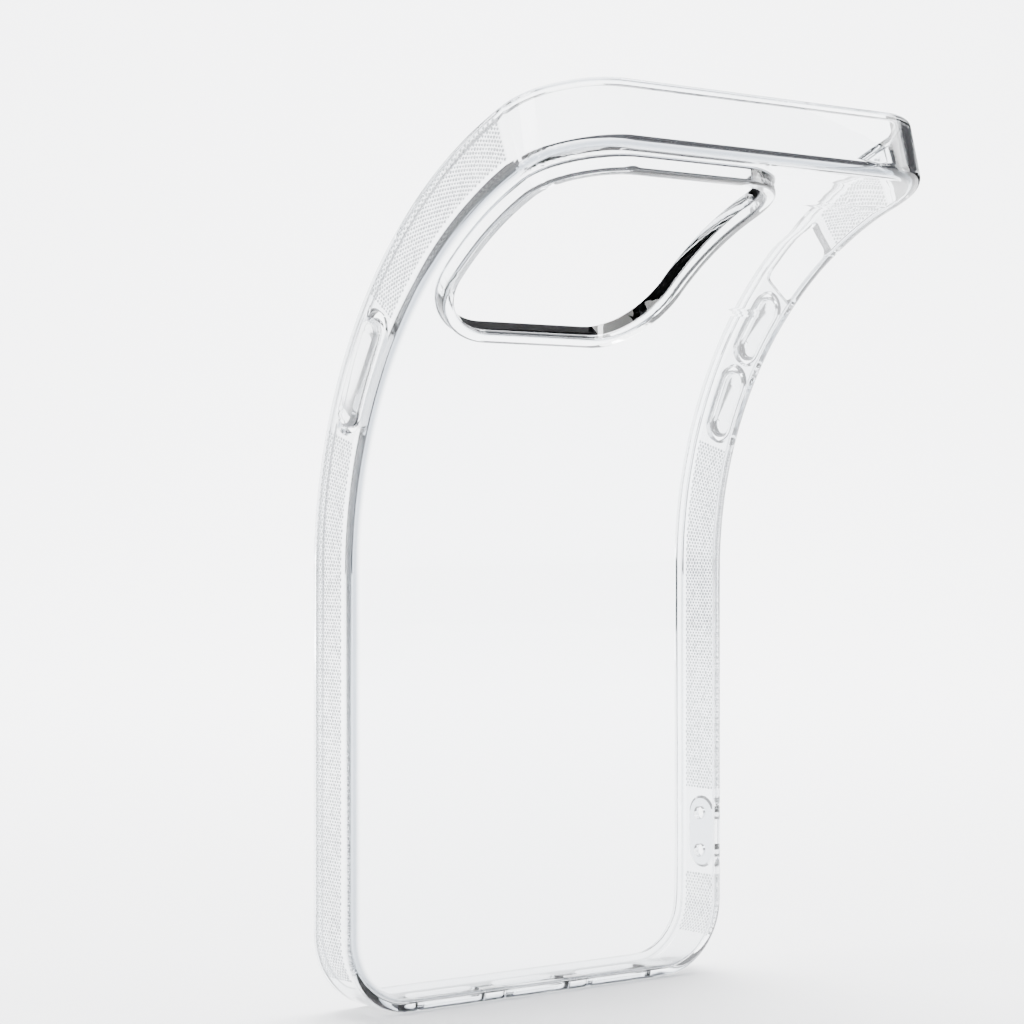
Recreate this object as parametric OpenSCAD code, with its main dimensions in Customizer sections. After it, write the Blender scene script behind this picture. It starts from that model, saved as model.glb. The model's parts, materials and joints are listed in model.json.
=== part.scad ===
// Clear flexible case for a flat-sided phone, held on the phone by its lower half while the
// upper half is peeled back.
//
// Frame: X to the right seen from behind, Y out of the screen side, Z up along the phone.
// The origin is where the case's long centre line meets the outer face of its bottom wall.
// The shell is drawn flat. It is then bent at six living hinges across the back panel: the
// material between two of them stays stiff, because its side rails hold it straight.

/* [Phone that the case fits] */
// Width of the phone
phone_w = 71.5; // [60:0.1:86]
// Height of the phone
phone_h = 147.5; // [120:0.1:180]
// Thickness of the phone
phone_t = 7.85; // [6.5:0.05:9.5]
// Room left all round the phone
phone_gap = 0.15; // [0.05:0.05:0.4]

/* [Shell] */
// Thickness of the side, top and bottom walls
side_wall = 1.5; // [1.2:0.05:2.2]
// Thickness of the back panel
back_wall = 1.2; // [0.9:0.05:2]
// How far the front lip stands over the screen
lip_rise = 0.8; // [0.5:0.05:1.5]
// How far the front lip reaches in over the phone's edge
lip_reach = 1.0; // [0.5:0.05:1.5]
// Outer radius of the four corners
corner_r = 12; // [9:0.5:15]
// Radius of the long edge round the back
edge_r = 2.0; // [1.5:0.1:2.5]
// Radius of the lip's outer edge
lip_r = 0.6; // [0.3:0.05:0.9]
// Radius inside, between the floor and the walls
inner_r = 0.8; // [0.4:0.05:1.2]
// Flat land between the back edge's round and the back panel's border
rail_land = 0.4; // [0.2:0.05:1]

/* [Camera window] */
// Width of the opening
window_w = 40; // [30:0.5:48]
// Height of the opening
window_h = 40.5; // [30:0.5:45]
// Corner radius of the opening
window_r = 10; // [6:0.5:12]
// Width of the guard ring round the opening
guard_w = 2.0; // [1.2:0.1:2.5]
// How far the guard ring stands out of the back
guard_rise = 2.4; // [0.8:0.1:3]

/* [Button covers] */
// Length of each volume cover
volume_len = 11.4; // [9:0.1:14]
// Length of the power cover
power_len = 16.8; // [14:0.1:21]
// Width of every cover, across the rail
cover_w = 4.6; // [3.6:0.1:5.4]
// How far a cover stands out of its rail
cover_rise = 0.7; // [0.4:0.1:1]
// Narrowing of the raised face on every side
cover_bevel = 0.6; // [0.3:0.05:0.9]
// Clearance round a cover in its slot
cover_clear = 0.15; // [0.1:0.05:0.3]
// Recess behind a cover for the phone's button
button_recess = 0.45; // [0.3:0.05:0.6]
// Wall left between a slot and the end of its rail
end_web = 0.55; // [0.4:0.05:1]

/* [Mute switch window] */
// Length of the window, along the rail
switch_len = 11.2; // [8:0.1:12.5]
// Height of the window, across the rail
switch_w = 6.4; // [4.5:0.1:7]

/* [Bottom openings] */
// Length of the charging port opening
port_len = 13.5; // [10:0.1:16]
// Height of the charging port opening
port_w = 6.4; // [5:0.1:7]
// Length of each speaker opening
speaker_len = 13.6; // [9:0.1:16]
// Height of each speaker opening
speaker_w = 4.8; // [4.4:0.1:5.5]
// Wall left between neighbouring openings
port_web = 3.2; // [2:0.1:5]

/* [Lanyard anchor] */
// Height of the anchor's middle above the bottom
anchor_z = 22.4; // [20:0.1:40]
// Length of the anchor plate
anchor_len = 11; // [9:0.1:15]
// Width of the anchor plate, across the rail
anchor_w = 5.2; // [4:0.1:6]
// Depth of the finger recess over the anchor plate
anchor_recess = 0.4; // [0.2:0.05:0.6]
// Radius of each cord hole
cord_hole_r = 1.1; // [0.8:0.05:1.4]
// Distance between the two cord holes
cord_hole_pitch = 6.2; // [4.6:0.1:8]

/* [Peel] */
// Angle of each living hinge, with the upper half peeled back
peel = 12.6; // [0:0.1:13.5]
// Straight stretch of side rail above the last hinge
top_land = 1.3; // [0.8:0.1:3]
// Gap across a hinge when the case is flat
seam = 0.2; // [0.1:0.05:0.4]

/* [Hidden] */
HINGES = 6;
FLEXES = HINGES - 1;
ARC_STEPS = 8;
cut = 1; // how far a cutting shape runs past the wall it cuts
clear_col = [0.87, 0.93, 0.97];
edge_col = [0.74, 0.83, 0.9];
cover_col = [0.8, 0.88, 0.94];

// Outer size of the flat case
half_w = phone_w / 2 + phone_gap + side_wall;
case_h = phone_h + 2 * (phone_gap + side_wall);
case_t = phone_t + 2 * phone_gap + back_wall + lip_rise;
y_back = -case_t / 2;
y_floor = y_back + back_wall;
y_front = case_t / 2;
y_lip = y_front - lip_rise;
y_mid = (y_floor + y_lip) / 2;
x_inner = half_w - side_wall;

// Border between the back panel and the frame round it
border = edge_r + rail_land;
x_border = half_w - border;
plate_r = corner_r - border;

// Living hinges, counted from the bottom: one flex segment holds one cover or window
pitch = max(volume_len + 2 * cover_clear, switch_len) + 2 * end_web + seam;
hinge_top = case_h - corner_r - top_land;
function hinge_z(i) = hinge_top - (HINGES - i) * pitch;
function segment_low(k) = hinge_z(k) + seam / 2;
function segment_high(k) = hinge_z(k + 1) - seam / 2;
function segment_mid(k) = (segment_low(k) + segment_high(k)) / 2;

// Which flex segment carries what
POWER_FLEX = 2;
VOLUME_DOWN_FLEX = 2;
VOLUME_UP_FLEX = 3;
SWITCH_FLEX = 4;
power_low = segment_low(POWER_FLEX) + end_web + cover_clear;
power_mid = power_low + power_len / 2;
// The left rail of the power cover's segment runs on past the next hinge, to hold the cover
power_rail_high = power_low + power_len + cover_clear + end_web;

// Camera window, against the upper left of the frame
window_left = -(x_border - guard_w);
window_top = case_h - border - guard_w;
window_x = window_left + window_w / 2;
window_z = window_top - window_h / 2;
speaker_x = port_len / 2 + port_web + speaker_len / 2;

// ---- bending --------------------------------------------------------------------------

// Turns what lies above hinge i about that hinge's line in the back's outer face
module at_hinge(i) {
    translate([0, y_back, hinge_z(i)])
        rotate([peel, 0, 0])
            translate([0, -y_back, -hinge_z(i)])
                children();
}

// Carries a flat piece to its place above the first k hinges
module peeled(k) {
    if (k > 0)
        peeled(k - 1) at_hinge(k) children();
    else
        children();
}

// ---- shapes that repeat ---------------------------------------------------------------

function arc(cx, cy, r, from, to) = [
    for (i = [0:ARC_STEPS])
        let (a = from + (to - from) * i / ARC_STEPS)
            [cx + r * cos(a), cy + r * sin(a)]
];

// Section of the frame, with its outer face to +X: wall, lip and a strip of floor
module frame_section() {
    polygon(concat(
        [[x_border, y_back]],
        arc(half_w - edge_r, y_back + edge_r, edge_r, -90, 0),
        arc(half_w - lip_r, y_front - lip_r, lip_r, 0, 90),
        arc(x_inner - lip_reach + lip_r / 2, y_front - lip_r / 2, lip_r / 2, 90, 180),
        [[x_inner - lip_reach, y_lip], [x_inner, y_lip]],
        arc(x_inner - inner_r, y_floor + inner_r, inner_r, 0, -90),
        [[x_border, y_floor]]
    ));
}

// Straight length of side rail
module rail(low, high, side) {
    color(clear_col)
        scale_side(side)
            translate([0, 0, low])
                linear_extrude(height = high - low)
                    frame_section();
}

// side is 1 on the right and -1 on the left
module scale_side(side) {
    if (side > 0)
        children();
    else
        mirror([1, 0, 0]) children();
}

// Round corner of the frame, drawn at the upper right
module corner_bend() {
    translate([half_w - corner_r, 0, case_h - corner_r])
        rotate([-90, 0, 0])
            mirror([0, 1, 0])
                rotate_extrude(angle = 90, $fn = 96)
                    translate([corner_r - half_w, 0])
                        frame_section();
}

module upper_corner(side) {
    color(edge_col)
        scale_side(side) {
            corner_bend();
            translate([0, 0, hinge_top + seam / 2])
                linear_extrude(height = top_land - seam / 2)
                    frame_section();
        }
}

module lower_corner(side) {
    color(edge_col)
        scale_side(side)
            translate([0, 0, case_h])
                mirror([0, 0, 1])
                    corner_bend();
}

// Straight wall between two corners, drawn along the bottom
module end_wall() {
    length = 2 * (half_w - corner_r);
    translate([-length / 2, 0, half_w])
        rotate([0, 90, 0])
            linear_extrude(height = length)
                frame_section();
}

// Slot with round ends: cut through along +Z, long side along X
module slot(length, width, depth) {
    run = length - width;
    for (end = [-1, 1])
        translate([end * run / 2, 0, 0])
            cylinder(h = depth, d = width, $fn = 48);
    translate([-run / 2, -width / 2, 0])
        cube([run, width, depth]);
}

// Rectangle with round corners in the back's plane, from low to high in Y
module rounded_plate(x, z, w, h, r, low, high) {
    translate([x, high, z])
        rotate([90, 0, 0])
            linear_extrude(height = high - low)
                union() {
                    square([w - 2 * r, h], center = true);
                    square([w, h - 2 * r], center = true);
                    for (i = [-1, 1], j = [-1, 1])
                        translate([i * (w / 2 - r), j * (h / 2 - r)])
                            circle(r = r, $fn = 96);
                }
}

module between(low, high) {
    intersection() {
        children();
        translate([-half_w - cut, y_back - guard_rise - cut, low])
            cube([2 * (half_w + cut), case_t + guard_rise + 2 * cut, high - low]);
    }
}

// ---- back panel and camera guard --------------------------------------------------------

module whole_plate() {
    rounded_plate(0, case_h / 2, 2 * x_border, case_h - 2 * border, plate_r, y_back, y_floor);
}

module guard_outline(low, high) {
    rounded_plate(window_x, window_z, window_w + 2 * guard_w, window_h + 2 * guard_w,
        window_r + guard_w, low, high);
}

module guard_ring() {
    difference() {
        guard_outline(y_back - guard_rise, y_floor);
        rounded_plate(window_x, window_z, window_w, window_h, window_r,
            y_back - guard_rise - cut, y_floor + cut);
    }
}

module back_between(low, high) {
    color(clear_col)
        between(low, high)
            difference() {
                whole_plate();
                guard_outline(y_back - cut, y_floor + cut);
            }
}

// Each guard piece stops short of its hinges, because it stands outside the hinge line
guard_relief = (guard_rise + seam) * tan(peel / 2) + seam / 2;

module guard_between(low, high) {
    color(edge_col)
        between(low + guard_relief, high - guard_relief)
            guard_ring();
}

// ---- covers and what lets them through the rails ----------------------------------------

// Stadium-shaped block standing out along +X from x = low to x = high
module rail_block(length, width, z, low, high) {
    translate([low, y_mid, z])
        rotate([0, 90, 0])
            slot(length, width, high - low);
}

module cover(length, z, side) {
    color(cover_col)
        scale_side(side) {
            rail_block(length, cover_w, z, x_inner + button_recess, half_w);
            rail_block(length - 2 * cover_bevel, cover_w - 2 * cover_bevel, z,
                half_w, half_w + cover_rise);
        }
}

module cover_slot(length, z, side) {
    scale_side(side)
        rail_block(length + 2 * cover_clear, cover_w + 2 * cover_clear, z,
            x_inner - cut, half_w + cut);
}

// ---- pieces of the lower half, which stays on the phone -----------------------------------

module back_panel_lower() {
    back_between(border, hinge_z(1) - seam / 2);
}

module left_rail_lower() {
    rail(corner_r, hinge_z(1) - seam / 2, -1);
}

module right_rail_lower() {
    difference() {
        rail(corner_r, hinge_z(1) - seam / 2, 1);
        translate([x_inner - cut, y_mid - anchor_w / 2, anchor_z - anchor_len / 2])
            cube([side_wall + 2 * cut, anchor_w, anchor_len]);
    }
}

module bottom_wall() {
    color(clear_col)
        difference() {
            end_wall();
            translate([0, y_mid, -cut])
                slot(port_len, port_w, side_wall + 2 * cut);
            for (side = [-1, 1])
                translate([side * speaker_x, y_mid, -cut])
                    slot(speaker_len, speaker_w, side_wall + 2 * cut);
        }
}

module corner_lower_left() {
    lower_corner(-1);
}

module corner_lower_right() {
    lower_corner(1);
}

// Plate with two cord holes, set below the rail's face, and the bar that the cord loops round
module lanyard_anchor() {
    color(edge_col)
        difference() {
            union() {
                translate([x_inner, y_mid - anchor_w / 2, anchor_z - anchor_len / 2])
                    cube([side_wall - anchor_recess, anchor_w, anchor_len]);
                translate([x_inner, y_mid - anchor_w / 2, anchor_z - cord_hole_pitch / 2 + cord_hole_r * 1.4])
                    cube([side_wall, anchor_w, cord_hole_pitch - cord_hole_r * 2.8]);
            }
            for (end = [-1, 1])
                translate([x_inner - cut, y_mid, anchor_z + end * cord_hole_pitch / 2])
                    rotate([0, 90, 0])
                        cylinder(h = side_wall + 2 * cut, r = cord_hole_r, $fn = 48);
        }
}

// ---- flex segments ----------------------------------------------------------------------

module flex_back(k) {
    peeled(k)
        difference() {
            back_between(segment_low(k), segment_high(k));
            if (k == POWER_FLEX + 1)
                power_rail_room();
        }
}

// Keeps the next segment's floor clear of the power cover's longer rail
module power_rail_room() {
    translate([-x_border - cut, y_back - cut, segment_low(POWER_FLEX + 1) - cut])
        cube([cut + seam, back_wall + 2 * cut, power_rail_high + seam + cut - segment_low(POWER_FLEX + 1)]);
}

module flex_left_rail(k) {
    low = k == POWER_FLEX + 1 ? power_rail_high + seam : segment_low(k);
    high = k == POWER_FLEX ? power_rail_high : segment_high(k);
    peeled(k)
        difference() {
            rail(low, high, -1);
            if (k == POWER_FLEX)
                cover_slot(power_len, power_mid, -1);
        }
}

module flex_right_rail(k) {
    peeled(k)
        difference() {
            rail(segment_low(k), segment_high(k), 1);
            if (k == VOLUME_DOWN_FLEX || k == VOLUME_UP_FLEX)
                cover_slot(volume_len, segment_mid(k), 1);
            if (k == SWITCH_FLEX)
                switch_window();
        }
}

module switch_window() {
    translate([x_inner - lip_reach - cut, y_mid - switch_w / 2, segment_mid(SWITCH_FLEX) - switch_len / 2])
        cube([side_wall + lip_reach + 2 * cut, switch_w, switch_len]);
}

module camera_guard_lower() {
    peeled(3) guard_between(segment_low(3) - guard_relief, segment_high(3));
}

module camera_guard_middle() {
    peeled(4) guard_between(segment_low(4), segment_high(4));
}

module camera_guard_upper() {
    peeled(5) guard_between(segment_low(5), segment_high(5));
}

// ---- pieces of the top, which is peeled furthest ------------------------------------------

module back_panel_top() {
    peeled(HINGES) back_between(hinge_top + seam / 2, case_h);
}

module top_wall() {
    color(clear_col)
        peeled(HINGES)
            translate([0, 0, case_h])
                mirror([0, 0, 1])
                    end_wall();
}

module corner_upper_left() {
    peeled(HINGES) upper_corner(-1);
}

module corner_upper_right() {
    peeled(HINGES) upper_corner(1);
}

module camera_guard_top() {
    peeled(HINGES) guard_between(hinge_top + seam / 2, case_h + guard_relief);
}

// ---- button covers ------------------------------------------------------------------------

module power_cover() {
    peeled(POWER_FLEX) cover(power_len, power_mid, -1);
}

module volume_up_cover() {
    peeled(VOLUME_UP_FLEX) cover(volume_len, segment_mid(VOLUME_UP_FLEX), 1);
}

module volume_down_cover() {
    peeled(VOLUME_DOWN_FLEX) cover(volume_len, segment_mid(VOLUME_DOWN_FLEX), 1);
}

back_panel_lower();
left_rail_lower();
right_rail_lower();
bottom_wall();
corner_lower_left();
corner_lower_right();
lanyard_anchor();
flex_back(1);  // flex_1_back
flex_left_rail(1);  // flex_1_left_rail
flex_right_rail(1);  // flex_1_right_rail
flex_back(2);  // flex_2_back
flex_left_rail(2);  // flex_2_left_rail
flex_right_rail(2);  // flex_2_right_rail
flex_back(3);  // flex_3_back
flex_left_rail(3);  // flex_3_left_rail
flex_right_rail(3);  // flex_3_right_rail
camera_guard_lower();
flex_back(4);  // flex_4_back
flex_left_rail(4);  // flex_4_left_rail
flex_right_rail(4);  // flex_4_right_rail
camera_guard_middle();
flex_back(5);  // flex_5_back
flex_left_rail(5);  // flex_5_left_rail
flex_right_rail(5);  // flex_5_right_rail
camera_guard_upper();
back_panel_top();
top_wall();
corner_upper_left();
corner_upper_right();
camera_guard_top();
power_cover();
volume_up_cover();
volume_down_cover();
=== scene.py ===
import json
import math

import bmesh
import bpy
import numpy as np
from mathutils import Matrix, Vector

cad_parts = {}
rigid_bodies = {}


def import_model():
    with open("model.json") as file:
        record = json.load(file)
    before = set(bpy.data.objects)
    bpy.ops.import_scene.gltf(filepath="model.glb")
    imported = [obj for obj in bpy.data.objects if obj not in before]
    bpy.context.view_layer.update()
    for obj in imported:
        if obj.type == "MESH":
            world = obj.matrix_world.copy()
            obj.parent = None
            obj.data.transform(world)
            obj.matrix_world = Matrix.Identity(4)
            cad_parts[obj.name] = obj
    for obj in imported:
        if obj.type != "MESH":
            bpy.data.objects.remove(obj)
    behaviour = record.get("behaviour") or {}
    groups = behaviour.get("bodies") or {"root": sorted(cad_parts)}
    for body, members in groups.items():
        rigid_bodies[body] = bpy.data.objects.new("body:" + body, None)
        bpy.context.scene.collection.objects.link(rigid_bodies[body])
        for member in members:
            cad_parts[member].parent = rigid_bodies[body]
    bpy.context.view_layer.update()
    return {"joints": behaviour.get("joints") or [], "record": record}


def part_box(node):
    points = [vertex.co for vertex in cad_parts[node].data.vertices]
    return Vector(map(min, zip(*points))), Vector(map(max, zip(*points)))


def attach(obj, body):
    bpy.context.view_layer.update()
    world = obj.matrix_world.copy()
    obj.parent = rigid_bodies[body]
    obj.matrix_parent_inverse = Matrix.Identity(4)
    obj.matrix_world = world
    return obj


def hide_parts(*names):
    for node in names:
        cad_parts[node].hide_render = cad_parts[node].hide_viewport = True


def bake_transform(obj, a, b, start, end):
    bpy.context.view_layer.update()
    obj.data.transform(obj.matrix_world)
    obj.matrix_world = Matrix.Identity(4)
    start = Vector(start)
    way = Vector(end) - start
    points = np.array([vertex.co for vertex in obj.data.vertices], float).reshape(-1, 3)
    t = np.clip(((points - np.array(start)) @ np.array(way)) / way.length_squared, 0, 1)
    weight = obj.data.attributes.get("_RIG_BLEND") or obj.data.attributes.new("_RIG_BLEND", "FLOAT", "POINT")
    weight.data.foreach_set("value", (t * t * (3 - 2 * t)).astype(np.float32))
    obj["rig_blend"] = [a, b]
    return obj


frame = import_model()

# ---- The moulded shell ------------------------------------------------------------------
# One shot of clear flexible TPU: a tray with a flat back, round-edged walls and a low lip
# that grips the phone's front. It is made flat here and then bent the way a hand peels it.

mm = 0.001
low_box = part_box("back_panel_lower")
rail_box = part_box("right_rail_lower")
hinges = [j for j in frame["joints"] if j["name"].startswith("peel")]
chain = [hinges[0]["parent"]] + [j["child"] for j in hinges]

HALF_W = rail_box[1].x
CORNER_R = rail_box[0].z
Y_BACK = low_box[0].y
Y_FLOOR = low_box[1].y
Y_FRONT = rail_box[1].y
CASE_H = 150.8 * mm
WALL = 1.5 * mm
EDGE_R = 2.0 * mm
LIP_RISE = 0.8 * mm
LIP_REACH = 1.0 * mm
Y_LIP = Y_FRONT - LIP_RISE
Y_MID = (Y_FLOOR + Y_LIP) / 2
X_INNER = HALF_W - WALL

PEEL = -math.radians(hinges[0]["range_deg"][0])
PITCH = math.dist(hinges[0]["pos_m"], hinges[1]["pos_m"])
BEND_START = hinges[0]["pos_m"][2] - PITCH / 2
BEND_LENGTH = PITCH * len(hinges)
BEND_R = PITCH / 2 / math.tan(PEEL / 2)


def bend(points):
    """Carries flat points to the peeled shape: one arc that touches every stiff segment's middle."""
    x, y, z = np.array(points, float).reshape(-1, 3).T
    run = np.clip(z - BEND_START, 0, BEND_LENGTH)
    turn = run / PITCH * PEEL
    past = z - BEND_START - run
    out = y - Y_BACK
    bent_y = Y_BACK - BEND_R * (1 - np.cos(turn)) + out * np.cos(turn) - past * np.sin(turn)
    bent_z = BEND_START + BEND_R * np.sin(turn) + out * np.sin(turn) + past * np.cos(turn)
    return np.stack([x, bent_y, bent_z], 1)


def arc(cx, cy, r, start, end, steps):
    """Points round a circle from start to end, in degrees."""
    angles = [math.radians(start + (end - start) * i / steps) for i in range(steps + 1)]
    return [(cx + r * math.cos(a), cy + r * math.sin(a)) for a in angles]


def rounded_outline(x0, z0, x1, z1, r, steps=20):
    """Rectangle with round corners in the back's plane, as (x, z) points."""
    return (arc(x1 - r, z1 - r, r, 0, 90, steps) + arc(x0 + r, z1 - r, r, 90, 180, steps)
            + arc(x0 + r, z0 + r, r, 180, 270, steps) + arc(x1 - r, z0 + r, r, 270, 360, steps))


def case_outline(inset):
    return rounded_outline(-HALF_W + inset, inset, HALF_W - inset, CASE_H - inset, CORNER_R - inset)


def add_loop(bm, outline, y):
    return [bm.verts.new((x, y, z)) for x, z in outline]


def join_loops(bm, a, b):
    for i in range(len(a)):
        bm.faces.new((a[i - 1], a[i], b[i], b[i - 1]))


def loop_edges(bm, loop):
    return [bm.edges.get((loop[i - 1], loop[i])) for i in range(len(loop))]


# Section of the frame, as (inset from the outer wall, y), from the back round to the floor
FRONT_ROUND = 0.6 * mm
LIP_ROUND = 0.3 * mm
LIP_EASE = 0.1 * mm
LIP_ROOT = 0.15 * mm
FLOOR_FILLET = 0.8 * mm
frame_section = (
    [(EDGE_R - a, b) for a, b in arc(0, Y_BACK + EDGE_R, EDGE_R, -90, 0, 10)]
    + [(FRONT_ROUND - a, b) for a, b in arc(0, Y_FRONT - FRONT_ROUND, FRONT_ROUND, 0, 90, 6)]
    + [(WALL + LIP_REACH - LIP_ROUND - a, b)
       for a, b in arc(0, Y_FRONT - LIP_ROUND, LIP_ROUND, 90, 180, 4)]
    + [(WALL + LIP_REACH, Y_LIP + LIP_EASE), (WALL + LIP_REACH - LIP_EASE, Y_LIP)]
    + [(WALL + LIP_ROOT, Y_LIP), (WALL, Y_LIP - LIP_ROOT)]
    + [(WALL + FLOOR_FILLET - a, b)
       for a, b in arc(0, Y_FLOOR + FLOOR_FILLET, FLOOR_FILLET, 0, -90, 6)]
)

# Camera guard, as (distance out from the opening, y), from the back round to the floor
WINDOW_W = 40 * mm
WINDOW_H = 40.5 * mm
WINDOW_R = 10 * mm
GUARD_W = 1.85 * mm
GUARD_RISE = 2.4 * mm
WINDOW_INSET = 4.4 * mm
WINDOW_LEFT = -HALF_W + WINDOW_INSET
WINDOW_TOP = CASE_H - WINDOW_INSET
Y_GUARD = Y_BACK - GUARD_RISE
GUARD_FOOT = 0.4 * mm
GUARD_OUTER = 0.55 * mm
GUARD_INNER = 0.45 * mm
WINDOW_ROUND = 0.25 * mm
guard_section = (
    [(GUARD_W + GUARD_FOOT + a, b) for a, b in arc(0, Y_BACK - GUARD_FOOT, GUARD_FOOT, 90, 180, 5)]
    + [(GUARD_W - GUARD_OUTER + a, b)
       for a, b in arc(0, Y_GUARD + GUARD_OUTER, GUARD_OUTER, 0, -90, 6)]
    + [(GUARD_INNER + a, b) for a, b in arc(0, Y_GUARD + GUARD_INNER, GUARD_INNER, -90, -180, 6)]
    + [(WINDOW_ROUND + a, b) for a, b in arc(0, Y_FLOOR - WINDOW_ROUND, WINDOW_ROUND, 180, 90, 4)]
)


def window_outline(out):
    return rounded_outline(WINDOW_LEFT - out, WINDOW_TOP - WINDOW_H - out,
                           WINDOW_LEFT + WINDOW_W + out, WINDOW_TOP + out, WINDOW_R + out)


def outline_distance(x, z, x0, z0, x1, z1, r):
    """How far points lie outside a rectangle with round corners."""
    over_x = np.abs(x - (x0 + x1) / 2) - (x1 - x0) / 2 + r
    over_z = np.abs(z - (z0 + z1) / 2) - (z1 - z0) / 2 + r
    return (np.hypot(np.maximum(over_x, 0), np.maximum(over_z, 0))
            + np.minimum(np.maximum(over_x, over_z), 0) - r)


# The cut walls of slots and openings are painted darker too: painted shade standing in for the dark lines
# their refraction shows.
CUT_SKIN = 0.2 * mm
CUT_REACH = 3.6 * mm
CUT_PAINTED_SHADE = 0.9
ROUND_SLACK = 0.012 * mm


def edge_depth(flat):
    """Painted shade: 0 on faces and up to 1 on rounded edges and cut walls, where dark lines are painted in
    for the dark surroundings that the clear edges refract.
    """
    x, y, z = flat.T
    inset = -outline_distance(x, z, -HALF_W, 0, HALF_W, CASE_H, CORNER_R)
    out = outline_distance(x, z, WINDOW_LEFT, WINDOW_TOP - WINDOW_H, WINDOW_LEFT + WINDOW_W,
                           WINDOW_TOP, WINDOW_R)
    in_cut = (inset > CUT_SKIN) & (inset < WALL - CUT_SKIN) & (np.abs(y - Y_MID) < CUT_REACH)
    shade_amount = np.where(in_cut, CUT_PAINTED_SHADE, 0)
    for across, centre, middle_y, r, side_a, side_y in (
            (inset, EDGE_R, Y_BACK + EDGE_R, EDGE_R, -1, -1),
            (inset, FRONT_ROUND, Y_FRONT - FRONT_ROUND, FRONT_ROUND, -1, 1),
            (inset, WALL + LIP_REACH - LIP_ROUND, Y_FRONT - LIP_ROUND, LIP_ROUND, 1, 1),
            (inset, WALL + FLOOR_FILLET, Y_FLOOR + FLOOR_FILLET, FLOOR_FILLET, -1, -1),
            (out, GUARD_W + GUARD_FOOT, Y_BACK - GUARD_FOOT, GUARD_FOOT, -1, 1),
            (out, GUARD_W - GUARD_OUTER, Y_GUARD + GUARD_OUTER, GUARD_OUTER, 1, -1),
            (out, GUARD_INNER, Y_GUARD + GUARD_INNER, GUARD_INNER, -1, -1),
            (out, WINDOW_ROUND, Y_FLOOR - WINDOW_ROUND, WINDOW_ROUND, -1, 1)):
        a, b = (across - centre) * side_a, (y - middle_y) * side_y
        on_round = (np.abs(np.hypot(a, b) - r) < ROUND_SLACK) & (a > -1e-5) & (b > -1e-5)
        shade_amount = np.maximum(shade_amount, np.where(on_round, np.sin(2 * np.arctan2(b, a)) ** 2, 0))
    return shade_amount


def bend_mesh(mesh, shade_of=edge_depth, bend_by=bend):
    """Bends a flat mesh. Each point keeps its flat place, in mm, and its painted edge shade."""
    flat = np.empty(len(mesh.vertices) * 3)
    mesh.vertices.foreach_get("co", flat)
    mesh.attributes.new("flat_place", "FLOAT_VECTOR", "POINT").data.foreach_set("vector", flat / mm)
    mesh.attributes.new("edge_depth", "FLOAT", "POINT").data.foreach_set(
        "value", shade_of(flat.reshape(-1, 3)))
    mesh.vertices.foreach_set("co", bend_by(flat).ravel())
    mesh.update()


def flat_shell():
    """The whole tray with its camera window and guard, flat, as one closed skin."""
    bm = bmesh.new()
    walls = [add_loop(bm, case_outline(inset), y) for inset, y in frame_section]
    guard = [add_loop(bm, window_outline(out), y) for out, y in guard_section]
    for loops in (walls, guard):
        for a, b in zip(loops, loops[1:]):
            join_loops(bm, a, b)
    for wall_loop, guard_loop in ((walls[0], guard[0]), (walls[-1], guard[-1])):
        border = loop_edges(bm, wall_loop) + loop_edges(bm, guard_loop)
        bmesh.ops.triangle_fill(bm, edges=border, use_beauty=True)
    bmesh.ops.remove_doubles(bm, verts=bm.verts, dist=1e-7)
    bmesh.ops.recalc_face_normals(bm, faces=bm.faces)
    return bm


def new_object(name, bm):
    mesh = bpy.data.meshes.new(name)
    bm.to_mesh(mesh)
    bm.free()
    made = bpy.data.objects.new(name, mesh)
    bpy.context.scene.collection.objects.link(made)
    return made


def side_stadium(length, width, grow, steps=12):
    """Outline of a slot with round ends, as (y, z) points about its middle."""
    r = width / 2 + grow
    run = (length - width) / 2
    return arc(0, run, r, 0, 180, steps) + arc(0, -run, r, 180, 360, steps)


def side_rectangle(length, width, grow, r, steps=5):
    a, b = width / 2 + grow, length / 2 + grow
    return (arc(a - r, b - r, r, 0, 90, steps) + arc(-a + r, b - r, r, 90, 180, steps)
            + arc(-a + r, -b + r, r, 180, 270, steps) + arc(a - r, -b + r, r, 270, 360, steps))


def lofted(levels, place):
    """Closed solid through outlines of equal length: levels are (outline, height), place puts a point."""
    bm = bmesh.new()
    loops = [[bm.verts.new(place(a, b, h)) for a, b in outline] for outline, h in levels]
    for a, b in zip(loops, loops[1:]):
        join_loops(bm, a, b)
    bm.faces.new(loops[0])
    bm.faces.new(loops[-1])
    bmesh.ops.recalc_face_normals(bm, faces=bm.faces)
    return bm


def carve(shell, cutter):
    """Cuts one closed solid out of the shell and deletes the cutter."""
    cutter_object = new_object("cutter", cutter)
    modifier = shell.modifiers.new("cut", "BOOLEAN")
    modifier.operation = "DIFFERENCE"
    modifier.solver = "EXACT"
    modifier.object = cutter_object
    cut_mesh = bpy.data.meshes.new_from_object(
        shell.evaluated_get(bpy.context.evaluated_depsgraph_get()))
    shell.modifiers.clear()
    shell.data = cut_mesh
    bpy.data.objects.remove(cutter_object)


def on_side(side, z):
    return lambda a, b, h: (side * h, Y_MID + a, z + b)


def segment_mid(k):
    """Flat height of the middle of stiff segment k, counted from 1 at the bottom."""
    return BEND_START + k * PITCH


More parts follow.
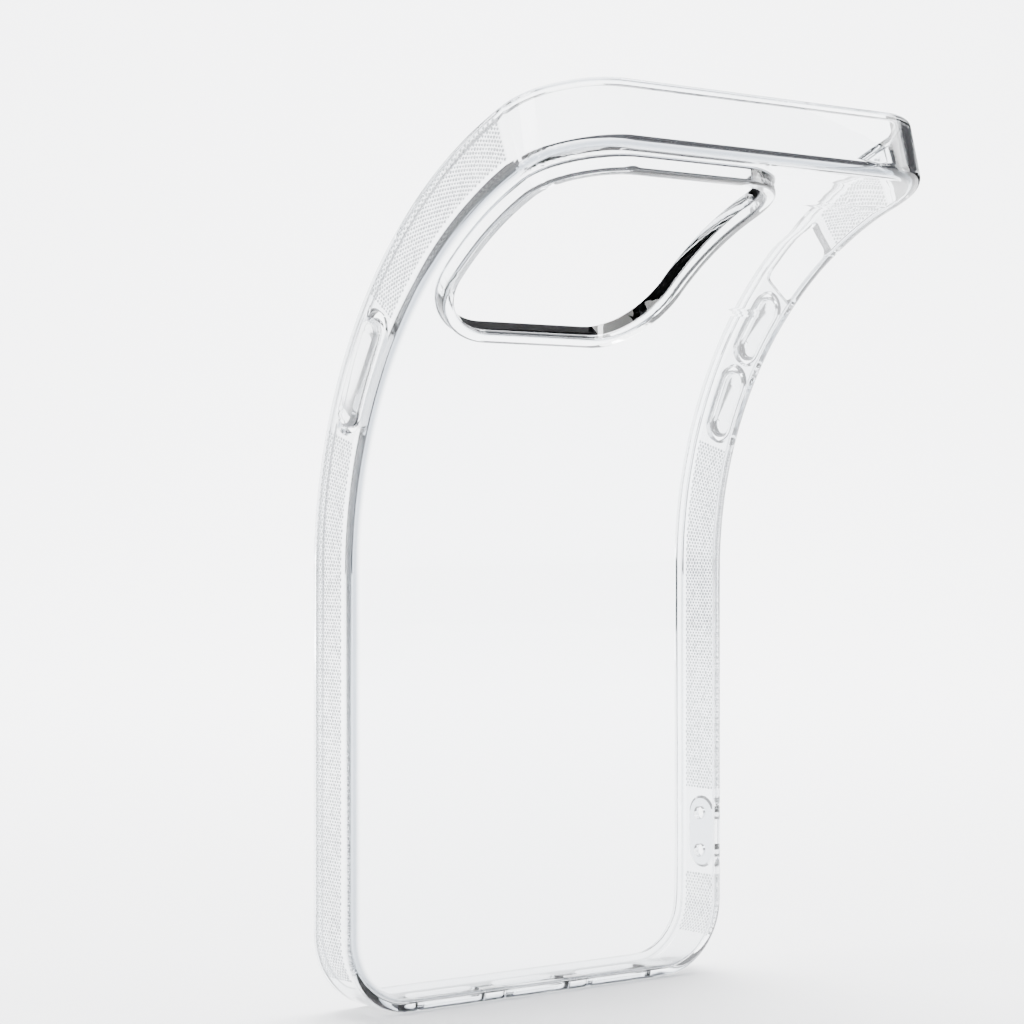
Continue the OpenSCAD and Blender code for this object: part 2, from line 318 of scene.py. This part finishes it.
VOLUME_LEN = 11.4 * mm
POWER_LEN = 16.8 * mm
COVER_W = 4.6 * mm
VOLUME_SLOT_CLEAR = 0.3 * mm
POWER_SLOT_CLEAR = 0.55 * mm
POWER_Z = segment_mid(2) - PITCH / 2 + 0.8 * mm + POWER_LEN / 2
covers = {
    "power_cover": (-1, POWER_Z, POWER_LEN, POWER_SLOT_CLEAR, 2, "power_button"),
    "volume_up_cover": (1, segment_mid(3), VOLUME_LEN, VOLUME_SLOT_CLEAR, 3, "volume_up_button"),
    "volume_down_cover": (1, segment_mid(2), VOLUME_LEN, VOLUME_SLOT_CLEAR, 2, "volume_down_button"),
}
SWITCH_LEN = 11.2 * mm
SWITCH_W = 6.4 * mm
PORT = (0, 13.5 * mm, 6.4 * mm)
SPEAKERS = [(s * 16.75 * mm, 13.6 * mm, 4.8 * mm) for s in (-1, 1)]
ANCHOR_Z = 22.4 * mm
CORD_HOLE_R = 1.1 * mm
CORD_HOLE_PITCH = 6.2 * mm
CHAMFER = 0.35 * mm
PAST = 1 * mm

shell = new_object("shell", flat_shell())
for side, z, length, gap, segment, body in covers.values():
    carve(shell, lofted(
        [(side_stadium(length, COVER_W, gap), X_INNER - PAST),
         (side_stadium(length, COVER_W, gap), HALF_W - CHAMFER),
         (side_stadium(length, COVER_W, gap + PAST), HALF_W - CHAMFER + PAST)],
        on_side(side, z)))
carve(shell, lofted(
    [(side_rectangle(SWITCH_LEN, SWITCH_W, 0, 1.2 * mm), X_INNER - PAST),
     (side_rectangle(SWITCH_LEN, SWITCH_W, 0, 1.2 * mm), X_INNER + 0.4 * mm),
     (side_rectangle(SWITCH_LEN, SWITCH_W, PAST, 1.2 * mm), X_INNER + 0.4 * mm + 1.6 * PAST)],
    on_side(1, segment_mid(4))))
for x, length, width in [PORT] + SPEAKERS:
    carve(shell, lofted(
        [(side_stadium(length, width, PAST), -PAST + CHAMFER),
         (side_stadium(length, width, 0), CHAMFER),
         (side_stadium(length, width, 0), WALL + PAST)],
        lambda a, b, h, x=x: (x + b, Y_MID + a, h)))
carve(shell, lofted(
    [(side_stadium(11 * mm, 5.2 * mm, 0), HALF_W - 0.45 * mm),
     (side_stadium(11 * mm, 5.2 * mm, PAST), HALF_W - 0.45 * mm + PAST)],
    on_side(1, ANCHOR_Z)))
for end in (-1, 1):
    hole_z = ANCHOR_Z + end * CORD_HOLE_PITCH / 2
    carve(shell, lofted(
        [(arc(0, 0, CORD_HOLE_R, 0, 360 * 23 / 24, 23), X_INNER - PAST),
         (arc(0, 0, CORD_HOLE_R, 0, 360 * 23 / 24, 23), HALF_W + PAST)],
        on_side(1, hole_z)))

# The grip band on each rail, in mm as flat_place is: its two edges in y and its ends in z
GRIP_LOW = -2.55
GRIP_HIGH = 3.95
GRIP_BOTTOM = 4.5
GRIP_FULL = 16
GRIP_TOP = CASE_H / mm - 13
# Painted shade: a dark blue-grey mixed into the plastic's base colour on rounded edges, cut walls, cover
# bevels and grip dots, painted in for the dark lines that clear edges show by refraction.
PAINTED_EDGE_SHADE_COLOUR = (0.12, 0.16, 0.21, 1)
PAINTED_EDGE_SHADE_STRENGTH = 0.85


def maths_in(tree):
    """Gives a function that adds one maths node to a tree and returns its result."""
    def maths(operation, first, second=0.0):
        node = tree.nodes.new("ShaderNodeMath")
        node.operation = operation
        for socket, value in zip(node.inputs, (first, second)):
            if isinstance(value, (int, float)):
                socket.default_value = value
            else:
                tree.links.new(value, socket)
        return node.outputs["Value"]
    return maths


def clear_plastic(name, rough_low, rough_high, frost, haze):
    """Polished clear TPU: faint blue cast, soft waviness from the mould and fine handling marks.
    Frost roughens the grip band along each side rail and haze is the light it scatters. Rounded edges, cut
    walls, cover bevels and dots get painted shade: a dark colour mixed into the base colour."""
    material = bpy.data.materials.new(name)
    material.use_nodes = True
    nodes, links = material.node_tree.nodes, material.node_tree.links
    nodes.clear()
    maths = maths_in(material.node_tree)
    out = nodes.new("ShaderNodeOutputMaterial")
    skin = nodes.new("ShaderNodeBsdfPrincipled")
    skin.inputs["IOR"].default_value = 1.48
    place = nodes.new("ShaderNodeAttribute")
    place.attribute_name = "flat_place"
    parts = nodes.new("ShaderNodeSeparateXYZ")
    links.new(place.outputs["Vector"], parts.inputs["Vector"])
    cloud = nodes.new("ShaderNodeTexNoise")
    cloud.inputs["Scale"].default_value = 0.045
    cloud.inputs["Detail"].default_value = 3
    tint = nodes.new("ShaderNodeValToRGB")
    tint.color_ramp.elements[0].color = (0.955, 0.98, 1, 1)
    tint.color_ramp.elements[1].color = (0.99, 0.997, 1, 1)
    marks = nodes.new("ShaderNodeTexNoise")
    marks.inputs["Scale"].default_value = 0.26
    marks.inputs["Detail"].default_value = 6
    rough = nodes.new("ShaderNodeMapRange")
    rough.inputs["From Min"].default_value = 0.35
    rough.inputs["From Max"].default_value = 0.7
    rough.inputs["To Min"].default_value = rough_low
    rough.inputs["To Max"].default_value = rough_high
    links.new(place.outputs["Vector"], cloud.inputs["Vector"])
    links.new(place.outputs["Vector"], marks.inputs["Vector"])
    links.new(cloud.outputs["Fac"], tint.inputs["Fac"])
    # Painted shade: the edge attribute mixes the dark edge colour into the base colour.
    edge_shade_input = nodes.new("ShaderNodeAttribute")
    edge_shade_input.attribute_name = "edge_depth"
    rim = nodes.new("ShaderNodeMix")
    rim.data_type = "RGBA"
    rim.inputs["B"].default_value = PAINTED_EDGE_SHADE_COLOUR
    links.new(tint.outputs["Color"], rim.inputs["A"])
    links.new(maths("MULTIPLY", edge_shade_input.outputs["Fac"], PAINTED_EDGE_SHADE_STRENGTH), rim.inputs["Factor"])
    links.new(rim.outputs["Result"], skin.inputs["Base Color"])
    links.new(marks.outputs["Fac"], rough.inputs["Value"])
    # The outer face alone: points as far from a lower corner's centre line as its radius
    past_x = maths("SUBTRACT", maths("ABSOLUTE", parts.outputs["X"]), (HALF_W - CORNER_R) / mm)
    over_x = maths("MAXIMUM", past_x, 0)
    over_z = maths("MAXIMUM", maths("SUBTRACT", CORNER_R / mm, parts.outputs["Z"]), 0)
    reach = maths("SQRT", maths("ADD", maths("POWER", over_x, 2), maths("POWER", over_z, 2)))
    outside = maths("GREATER_THAN", reach, CORNER_R / mm - 0.05)
    band = maths("MULTIPLY", maths("GREATER_THAN", parts.outputs["Y"], GRIP_LOW),
                     maths("LESS_THAN", parts.outputs["Y"], GRIP_HIGH))
    fade = nodes.new("ShaderNodeMapRange")
    fade.inputs["From Min"].default_value = GRIP_BOTTOM
    fade.inputs["From Max"].default_value = GRIP_FULL
    links.new(parts.outputs["Z"], fade.inputs["Value"])
    ends = maths("MULTIPLY", fade.outputs["Result"],
                     maths("LESS_THAN", parts.outputs["Z"], GRIP_TOP))
    grip = maths("MULTIPLY", maths("MULTIPLY", outside, band), ends)
    links.new(maths("ADD", rough.outputs["Result"], maths("MULTIPLY", grip, frost)),
              skin.inputs["Roughness"])
    links.new(maths("SUBTRACT", 1.0, maths("MULTIPLY", grip, haze)),
              skin.inputs["Transmission Weight"])
    wave = nodes.new("ShaderNodeBump")
    wave.inputs["Strength"].default_value = 0.03
    wave.inputs["Distance"].default_value = 0.001
    links.new(cloud.outputs["Fac"], wave.inputs["Height"])
    links.new(wave.outputs["Normal"], skin.inputs["Normal"])
    # Where two flex pieces meet inside the plastic there is no surface to see
    join = nodes.new("ShaderNodeAttribute")
    join.attribute_name = "inside_joint"
    open_air = nodes.new("ShaderNodeBsdfTransparent")
    either = nodes.new("ShaderNodeMixShader")
    links.new(join.outputs["Fac"], either.inputs["Fac"])
    links.new(skin.outputs["BSDF"], either.inputs[1])
    links.new(open_air.outputs["BSDF"], either.inputs[2])
    links.new(either.outputs["Shader"], out.inputs["Surface"])
    return material


clear = clear_plastic("clear_tpu", 0.0, 0.04, 0.1, 0.16)
shell.data.materials.clear()
shell.data.materials.append(clear)

SLICE = PITCH / 10
SHARP = math.radians(38)


def shell_slice(name, low, high):
    """The part of the shell between two heights, bent, with both cuts closed. It is first cut one
    slice too long at both ends, so that its shading runs on smoothly into its neighbours."""
    bm = bmesh.new()
    bm.from_mesh(shell.data)
    bmesh.ops.triangulate(bm, faces=bm.faces)
    start = low if low is not None else BEND_START
    end = high if high is not None else BEND_START + BEND_LENGTH
    count = round((end - start) / SLICE)
    for i in range(-1, count + 2):
        below, above = i == -1 and low is not None, i == count + 1 and high is not None
        bmesh.ops.bisect_plane(bm, geom=bm.verts[:] + bm.edges[:] + bm.faces[:],
                               plane_co=(0, 0, start + i * SLICE), plane_no=(0, 0, 1),
                               clear_inner=below, clear_outer=above)
    bm.faces.layers.float.new("inside_joint")
    spare = bm.faces.layers.int.new("spare")
    for face in bm.faces:
        middle_z = face.calc_center_median().z
        face[spare] = (low is not None and middle_z < low) or (high is not None and middle_z > high)
        face.smooth = True
    for edge in bm.edges:
        edge.smooth = edge.is_manifold and edge.calc_face_angle(0) < SHARP
    long_mesh = bpy.data.meshes.new(name)
    bm.to_mesh(long_mesh)
    bm.free()
    bend_mesh(long_mesh)
    normals = np.empty(len(long_mesh.loops) * 3, np.float32)
    long_mesh.corner_normals.foreach_get("vector", normals)
    long_mesh.attributes.new("shared_normal", "FLOAT_VECTOR", "CORNER").data.foreach_set("vector", normals)

    bm = bmesh.new()
    bm.from_mesh(long_mesh)
    bpy.data.meshes.remove(long_mesh)
    spare = bm.faces.layers.int["spare"]
    inside = bm.faces.layers.float["inside_joint"]
    flat_place = bm.verts.layers.float_vector["flat_place"]
    bmesh.ops.delete(bm, geom=[f for f in bm.faces if f[spare]], context="FACES")
    for z in (low, high):
        if z is None:
            continue
        rim = [e for e in bm.edges
               if e.is_boundary and all(abs(v[flat_place].z - z / mm) < 1e-3 for v in e.verts)]
        filled = bmesh.ops.triangle_fill(bm, edges=rim, use_beauty=True)["geom"]
        for face in filled:
            if isinstance(face, bmesh.types.BMFace):
                face[inside] = 1.0
        for edge in rim:
            edge.smooth = False
    bmesh.ops.recalc_face_normals(bm, faces=bm.faces)
    bm.faces.layers.int.remove(spare)
    piece = new_object(name, bm)
    mesh = piece.data
    shared = mesh.attributes["shared_normal"]
    normals = np.empty(len(mesh.loops) * 3, np.float32)
    shared.data.foreach_get("vector", normals)
    mesh.attributes.remove(shared)
    mesh.normals_split_custom_set(normals.reshape(-1, 3).tolist())
    mesh.materials.append(clear)
    return piece


def section_point(k):
    """Where the middle of the back crosses the middle of stiff segment k, at rest."""
    return tuple(bend([(0, Y_BACK, segment_mid(k))])[0])


def nodes_of(body):
    return frame["record"]["behaviour"]["bodies"][body]


last = len(hinges)
lower = shell_slice("shell_lower", None, BEND_START)
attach(lower, chain[0])
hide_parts(*nodes_of(chain[0]))
for k in range(last):
    piece = shell_slice(f"shell_flex_{k + 1}", BEND_START + k * PITCH, BEND_START + (k + 1) * PITCH)
    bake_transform(piece, chain[k], chain[k + 1], start=section_point(k), end=section_point(k + 1))
    if k + 1 < last:
        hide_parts(*nodes_of(chain[k + 1]))
upper = shell_slice("shell_top", BEND_START + BEND_LENGTH, None)
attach(upper, chain[last])
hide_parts(*nodes_of(chain[last]))
bpy.data.objects.remove(shell)

# ---- Button covers ----------------------------------------------------------------------
# Raised pads over the phone's three side buttons. A real one is moulded with the rail and
# joined to it by a thin skin that gives way under a fingertip. Here that skin is left out, so
# each pad stands free in its slot, keeps its shape as the rail bends and slides in to press.

COVER_RISE = 0.7 * mm
COVER_RECESS = 0.45 * mm
COVER_BEVEL = 0.55 * mm


def cover_painted_shade(flat):
    """Painted shade on the bevel round a cover's raised face: a dark line painted in."""
    raised = np.abs(flat[:, 0]) - HALF_W
    return np.where((raised > 0.1 * mm) & (raised < 0.65 * mm), 0.6, 0.0)


def half_bend(points, segment):
    """Places a cover with half the rail's curve, about the middle of the segment that carries it:
    the cover keeps its shape, so it has to sit in its slot both peeled and flat."""
    x, y, z = np.array(points, float).reshape(-1, 3).T
    half_r = 2 * (BEND_R + Y_MID - Y_BACK)
    turn = (z - segment_mid(segment)) / half_r
    out = Y_MID - Y_BACK + (y - Y_MID) * np.cos(turn) - half_r * (1 - np.cos(turn))
    along = (half_r + y - Y_MID) * np.sin(turn)
    tilt = segment * PEEL
    bent_y = Y_BACK - BEND_R * (1 - math.cos(tilt)) + out * math.cos(tilt) - along * math.sin(tilt)
    bent_z = BEND_START + BEND_R * math.sin(tilt) + out * math.sin(tilt) + along * math.cos(tilt)
    return np.stack([x, bent_y, bent_z], 1)


for name, (side, z, length, gap, segment, body) in covers.items():
    length += gap
    pad = lofted(
        [(side_stadium(length, COVER_W, -0.7 * mm), X_INNER + COVER_RECESS + 0.25 * mm),
         (side_stadium(length, COVER_W, -0.55 * mm), X_INNER + COVER_RECESS),
         (side_stadium(length, COVER_W, -0.1 * mm), X_INNER + COVER_RECESS),
         (side_stadium(length, COVER_W, 0), X_INNER + COVER_RECESS + 0.1 * mm),
         (side_stadium(length, COVER_W, 0), HALF_W + 0.05 * mm),
         (side_stadium(length, COVER_W, -0.08 * mm), HALF_W + 0.2 * mm),
         (side_stadium(length, COVER_W, -COVER_BEVEL + 0.1 * mm), HALF_W + COVER_RISE - 0.12 * mm),
         (side_stadium(length, COVER_W, -COVER_BEVEL - 0.1 * mm), HALF_W + COVER_RISE)],
        on_side(side, z))
    bmesh.ops.triangulate(pad, faces=[f for f in pad.faces if len(f.verts) > 4])
    for i in range(1, 16):
        bmesh.ops.bisect_plane(pad, geom=pad.verts[:] + pad.edges[:] + pad.faces[:],
                               plane_co=(0, 0, z + (i / 16 - 0.5) * length), plane_no=(0, 0, 1))
    for edge in pad.edges:
        edge.smooth = edge.calc_face_angle(0) < SHARP
    for face in pad.faces:
        face.smooth = True
    cover = new_object(name + "_pad", pad)
    cover.data.materials.append(clear)
    bend_mesh(cover.data, cover_painted_shade, lambda points: half_bend(points, segment))
    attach(cover, body)
    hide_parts(name)

# ---- Grip stipple ------------------------------------------------------------------------
# Rows of tiny blunt cones moulded into the flat of both side rails, from the lower corners
# to the upper ones, so that the case doesn't slip in the hand. Smooth at every cut-out.

DOT_ROW = PITCH / 26
DOT_COLUMN = 0.66 * mm
DOT_R = 0.25 * mm
DOT_H = 0.12 * mm
DOT_SUNK = 0.02 * mm
grip_clear = clear_plastic("grip_tpu", 0.05, 0.15, 0.1, 0.6)


def grip_nodes():
    """Hexagonal grid of blunt cones over the flat patches that it is given, facing out along X."""
    tree = bpy.data.node_groups.new("grip_stipple", "GeometryNodeTree")
    tree.is_modifier = True
    face = tree.interface
    face.new_socket("Patches", in_out="INPUT", socket_type="NodeSocketGeometry")
    for label, value in (("Row Pitch", DOT_ROW), ("Column Pitch", DOT_COLUMN), ("Dot Radius", DOT_R),
                         ("Dot Height", DOT_H + DOT_SUNK), ("Side", 1.0)):
        face.new_socket(label, in_out="INPUT", socket_type="NodeSocketFloat").default_value = value
    face.new_socket("Dot Material", in_out="INPUT", socket_type="NodeSocketMaterial")
    face.new_socket("Dots", in_out="OUTPUT", socket_type="NodeSocketGeometry")
    nodes, links = tree.nodes, tree.links
    given, made = nodes.new("NodeGroupInput"), nodes.new("NodeGroupOutput")

    maths = maths_in(tree)
    box = nodes.new("GeometryNodeBoundBox")
    low, size = nodes.new("ShaderNodeSeparateXYZ"), nodes.new("ShaderNodeSeparateXYZ")
    spread = nodes.new("ShaderNodeVectorMath")
    spread.operation = "SUBTRACT"
    links.new(given.outputs["Patches"], box.inputs["Geometry"])
    links.new(box.outputs["Max"], spread.inputs[0])
    links.new(box.outputs["Min"], spread.inputs[1])
    links.new(box.outputs["Min"], low.inputs["Vector"])
    links.new(spread.outputs["Vector"], size.inputs["Vector"])
    columns = maths("ROUND", maths("DIVIDE", size.outputs["Y"], given.outputs["Column Pitch"]))
    rows = maths("ROUND", maths("DIVIDE", size.outputs["Z"], given.outputs["Row Pitch"]))
    index = nodes.new("GeometryNodeInputIndex").outputs["Index"]
    row = maths("FLOOR", maths("DIVIDE", index, columns))
    column = maths("SUBTRACT", index, maths("MULTIPLY", row, columns))
    shift = maths("MULTIPLY", maths("MODULO", row, 2.0), 0.5)
    along_y = maths("ADD", low.outputs["Y"], maths("MULTIPLY", maths(
        "ADD", maths("ADD", column, shift), 0.25), given.outputs["Column Pitch"]))
    along_z = maths("ADD", low.outputs["Z"], maths(
        "MULTIPLY", maths("ADD", row, 0.5), given.outputs["Row Pitch"]))
    spot = nodes.new("ShaderNodeCombineXYZ")
    links.new(low.outputs["X"], spot.inputs["X"])
    links.new(along_y, spot.inputs["Y"])
    links.new(along_z, spot.inputs["Z"])
    points = nodes.new("GeometryNodePoints")
    links.new(maths("MULTIPLY", columns, rows), points.inputs["Count"])
    links.new(spot.outputs["Vector"], points.inputs["Position"])
    near = nodes.new("GeometryNodeProximity")
    near.target_element = "FACES"
    links.new(given.outputs["Patches"], near.inputs["Geometry"])
    off_patch = maths("GREATER_THAN", near.outputs["Distance"], 1e-5)
    kept = nodes.new("GeometryNodeDeleteGeometry")
    kept.domain = "POINT"
    links.new(points.outputs["Points"], kept.inputs["Geometry"])
    links.new(off_patch, kept.inputs["Selection"])
    cone = nodes.new("GeometryNodeMeshCone")
    cone.fill_type = "NGON"
    cone.inputs["Vertices"].default_value = 6
    links.new(maths("MULTIPLY", given.outputs["Dot Radius"], 0.4), cone.inputs["Radius Top"])
    links.new(given.outputs["Dot Radius"], cone.inputs["Radius Bottom"])
    links.new(given.outputs["Dot Height"], cone.inputs["Depth"])
    tilt = nodes.new("ShaderNodeCombineXYZ")
    links.new(maths("MULTIPLY", given.outputs["Side"], math.pi / 2), tilt.inputs["Y"])
    worn = nodes.new("FunctionNodeRandomValue")
    worn.data_type = "FLOAT"
    worn.inputs[2].default_value = 0.8
    worn.inputs[3].default_value = 1.15
    worn.inputs["Seed"].default_value = 7
    placed = nodes.new("GeometryNodeInstanceOnPoints")
    links.new(kept.outputs["Geometry"], placed.inputs["Points"])
    links.new(cone.outputs["Mesh"], placed.inputs["Instance"])
    links.new(tilt.outputs["Vector"], placed.inputs["Rotation"])
    wide = nodes.new("ShaderNodeCombineXYZ")
    wide.inputs["Z"].default_value = 1.0
    links.new(worn.outputs[1], wide.inputs["X"])
    links.new(worn.outputs[1], wide.inputs["Y"])
    links.new(wide.outputs["Vector"], placed.inputs["Scale"])
    real = nodes.new("GeometryNodeRealizeInstances")
    coat = nodes.new("GeometryNodeSetMaterial")
    links.new(placed.outputs["Instances"], real.inputs["Geometry"])
    links.new(real.outputs["Geometry"], coat.inputs["Geometry"])
    links.new(given.outputs["Dot Material"], coat.inputs["Material"])
    links.new(coat.outputs["Geometry"], made.inputs["Dots"])
    return tree


stipple = grip_nodes()


def rows_up(z):
    return BEND_START + math.ceil((z - BEND_START) / DOT_ROW) * DOT_ROW


def rows_down(z):
    return BEND_START + math.floor((z - BEND_START) / DOT_ROW) * DOT_ROW


def smooth_gap(side):
    """Heights on one rail that stay smooth because something opens there."""
    gaps = [(z - length / 2 - 1.2 * mm, z + length / 2 + 1.2 * mm)
            for s, z, length, gap, segment, body in covers.values() if s == side]
    if side > 0:
        half = SWITCH_LEN / 2 + 1.6 * mm
        gaps += [(segment_mid(4) - half, segment_mid(4) + half), (ANCHOR_Z - 6.6 * mm, ANCHOR_Z + 6.6 * mm)]
    return sorted(gaps)


def round_corner(mesh):
    """Wraps what lies below the rails' straight part round the lower corners."""
    for vertex in mesh.vertices:
        x, y, z = vertex.co
        if z < CORNER_R:
            turn = (CORNER_R - z) / CORNER_R
            reach = abs(x) - HALF_W + CORNER_R
            vertex.co.x = math.copysign(HALF_W - CORNER_R + reach * math.cos(turn), x)
            vertex.co.z = CORNER_R - reach * math.sin(turn)


# Painted shade: every grip dot gets some of the dark edge colour mixed in, for the grey its refraction
# shows.
def dot_painted_shade(flat):
    return np.full(len(flat), 0.35)


def grip_mesh(name, side, low, high):
    """The stipple on one rail between two heights, flat."""
    runs, start = [], max(low, rows_up(GRIP_BOTTOM * mm))
    for gap_low, gap_high in smooth_gap(side):
        runs.append((start, min(high, rows_down(gap_low))))
        start = max(start, rows_up(gap_high))
    runs.append((start, min(high, rows_down(GRIP_TOP * mm))))
    runs = [(a, b) for a, b in runs if b - a > DOT_ROW * 0.9]
    if not runs:
        return None
    patches = bmesh.new()
    x = side * (HALF_W - DOT_SUNK)      # a cone grows out from its base
    for a, b in runs:
        corners = ((GRIP_LOW * mm, a), (GRIP_HIGH * mm, a), (GRIP_HIGH * mm, b), (GRIP_LOW * mm, b))
        patches.faces.new([patches.verts.new((x, y, z)) for y, z in corners])
    base = new_object("patches", patches)
    modifier = base.modifiers.new("grip", "NODES")
    modifier.node_group = stipple
    sockets = {item.name: item.identifier for item in stipple.interface.items_tree}
    modifier[sockets["Side"]] = float(side)
    modifier[sockets["Dot Material"]] = grip_clear
    dots = bpy.data.meshes.new_from_object(
        base.evaluated_get(bpy.context.evaluated_depsgraph_get()))
    base.modifiers.clear()
    bpy.data.objects.remove(base)
    round_corner(dots)
    bend_mesh(dots, dot_painted_shade)
    grip = bpy.data.objects.new(name, dots)
    bpy.context.scene.collection.objects.link(grip)
    return grip


for side, label in ((-1, "left"), (1, "right")):
    grip = grip_mesh(f"grip_{label}_lower", side, 0, BEND_START)
    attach(grip, chain[0])
    for k in range(last):
        grip = grip_mesh(f"grip_{label}_{k + 1}", side, BEND_START + k * PITCH, BEND_START + (k + 1) * PITCH)
        if grip:
            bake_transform(grip, chain[k], chain[k + 1], start=section_point(k), end=section_point(k + 1))

# ---- Studio ------------------------------------------------------------------------------
# A pale sweep that rises behind the case, a large soft light above and softer ones at the
# sides, and a camera at the height of the case's middle, looking at its back from the left.

CAM_AZ = math.radians(-38.5)
right = np.array([math.cos(CAM_AZ), math.sin(CAM_AZ), 0])
back = np.array([math.sin(CAM_AZ), -math.cos(CAM_AZ), 0])


def seen(across, away, height):
    """The place so far right of the case, away from the camera and up, in metres."""
    return tuple(right * across - back * away + np.array([0, 0, height]))


SWEEP_FRONT = -1.6
SWEEP_BACK = 0.7
SWEEP_R = 0.5
SWEEP_HALF = 2.5
SWEEP_TOP = 2.2
curve = [math.radians(a) for a in range(10, 91, 10)]
profile = ([(SWEEP_FRONT, 0.0), (SWEEP_BACK, 0.0)]
           + [(SWEEP_BACK + SWEEP_R * math.sin(a), SWEEP_R - SWEEP_R * math.cos(a)) for a in curve]
           + [(SWEEP_BACK + SWEEP_R, SWEEP_TOP)])
sweep = bmesh.new()
rows = []
for run, height in profile:
    rows.append([sweep.verts.new(seen(s * SWEEP_HALF, run, height)) for s in (-1, 1)])
for a, b in zip(rows, rows[1:]):
    sweep.faces.new((a[0], a[1], b[1], b[0]))
for face in sweep.faces:
    face.smooth = True
floor = new_object("studio_sweep", sweep)
paper = bpy.data.materials.new("pale_paper")
paper.use_nodes = True
paper.node_tree.nodes["Principled BSDF"].inputs["Base Color"].default_value = (0.93, 0.93, 0.94, 1)
paper.node_tree.nodes["Principled BSDF"].inputs["Roughness"].default_value = 0.8
floor.data.materials.append(paper)


def soft_light(name, place, target, size, power):
    data = bpy.data.lights.new(name, "AREA")
    data.shape = "RECTANGLE"
    data.size, data.size_y = size
    data.energy = power
    light = bpy.data.objects.new(name, data)
    light.location = place
    aim = np.array(target) - np.array(place)
    light.rotation_mode = "QUATERNION"
    light.rotation_quaternion = Vector(aim).to_track_quat("-Z", "Y")
    bpy.context.scene.collection.objects.link(light)
    return light


middle = (0, -0.02, 0.07)
soft_light("overhead", (0, 0.1, 0.9), middle, size=(0.9, 0.9), power=15)
soft_light("backdrop_wash", seen(0, 0.5, 1.3), seen(0, 1.2, 0.3), size=(1.6, 0.5), power=95)
soft_light("left_soft", seen(-0.8, -0.3, 0.35), middle, size=(0.3, 0.8), power=7)
soft_light("right_soft", seen(0.85, 0.15, 0.3), middle, size=(0.25, 0.8), power=7)
world = bpy.data.worlds.new("studio_air")
world.use_nodes = True
world.node_tree.nodes["Background"].inputs["Color"].default_value = (0.8, 0.84, 0.9, 1)
world.node_tree.nodes["Background"].inputs["Strength"].default_value = 0.6
bpy.context.scene.world = world

black_cloth = bpy.data.materials.new("black_cloth")
black_cloth.use_nodes = True
black_cloth.node_tree.nodes["Principled BSDF"].inputs["Base Color"].default_value = (0.01, 0.01, 0.012, 1)
black_cloth.node_tree.nodes["Principled BSDF"].inputs["Roughness"].default_value = 0.9


def flag(name, corners):
    """Black cloth on a frame outside the view, which the clear edges pick up as dark lines."""
    bm = bmesh.new()
    bm.faces.new([bm.verts.new(seen(*corner)) for corner in corners])
    cloth = new_object(name, bm)
    cloth.data.materials.append(black_cloth)
    cloth.visible_camera = False
    cloth.visible_shadow = False
    cloth.visible_diffuse = False


AWAY = 0.9
NEAR = -0.5
WIDE = 1.3
HIGH = 1.3
TOP_FLAG_LOW = 0.31
for label, inner, far in (("left", -0.34, -WIDE), ("right", 0.23, WIDE)):
    flag(label + "_flag", ((inner, AWAY, 0), (far, AWAY, 0), (far, AWAY, HIGH), (inner, AWAY, HIGH)))
    flag(label + "_side_flag", ((far, AWAY, 0), (far, NEAR, 0), (far, NEAR, HIGH), (far, AWAY, HIGH)))
flag("top_flag", ((-WIDE, AWAY, TOP_FLAG_LOW), (WIDE, AWAY, TOP_FLAG_LOW),
                  (WIDE, AWAY, HIGH), (-WIDE, AWAY, HIGH)))
flag("ceiling_flag", ((-WIDE, AWAY, HIGH), (WIDE, AWAY, HIGH), (WIDE, NEAR, HIGH), (-WIDE, NEAR, HIGH)))

CAM_DISTANCE = 0.425
CAM_Z = 75.3 * mm
CAM_LENS = 94.921875
CAM_SHIFT = -0.015625
camera_data = bpy.data.cameras.new("camera")
camera_data.sensor_width = 36
camera_data.lens = CAM_LENS
camera_data.shift_x = CAM_SHIFT
camera = bpy.data.objects.new("camera", camera_data)
camera.location = tuple(back * CAM_DISTANCE + np.array([0, 0, CAM_Z]))
camera.rotation_euler = (math.radians(90), 0, CAM_AZ)
bpy.context.scene.collection.objects.link(camera)
bpy.context.scene.camera = camera
